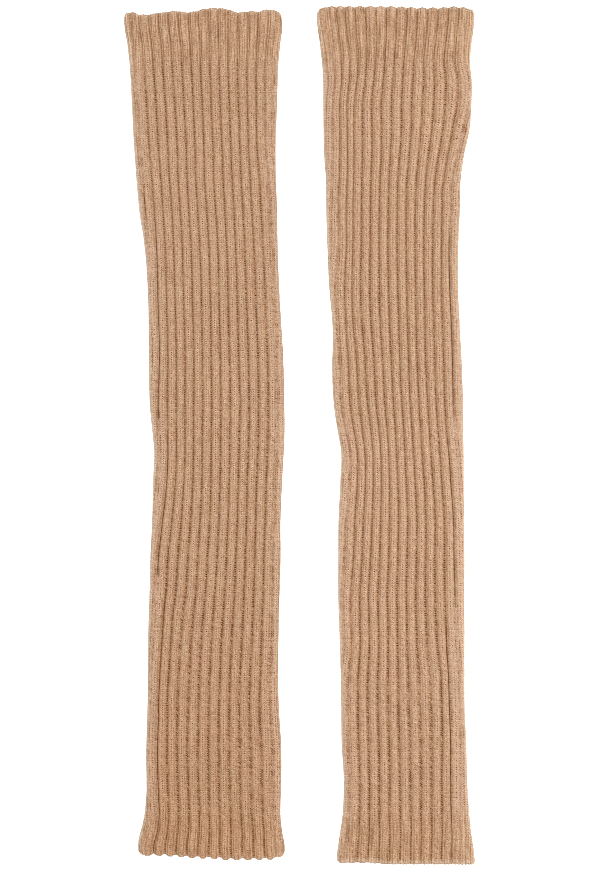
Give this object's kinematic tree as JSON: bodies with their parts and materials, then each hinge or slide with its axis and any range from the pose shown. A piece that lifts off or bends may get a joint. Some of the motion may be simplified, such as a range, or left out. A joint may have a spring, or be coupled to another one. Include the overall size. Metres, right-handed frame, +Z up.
{
  "type": "pair of arm warmers",
  "caption": "Pair of long fingerless arm warmers in fine rib knit, flattened tubes with flared bands, laid side by side.",
  "frame": {"origin": "the middle of the pair, on the surface that it lies on", "axes": "+Y along the warmers from the wrists towards the upper arms, +X to the right across the pair, +Z up"},
  "size_m": [0.2065, 0.5054, 0.0052],
  "materials": {
    "camel_knit": "matte fine two-by-two rib knit, soft and slightly fuzzy"
  },
  "bodies": {
    "root": {"left_upper_band": "camel_knit", "left_sleeve": "camel_knit", "left_wrist_band": "camel_knit", "right_upper_band": "camel_knit", "right_sleeve": "camel_knit", "right_wrist_band": "camel_knit"}
  },
  "joints": []
}
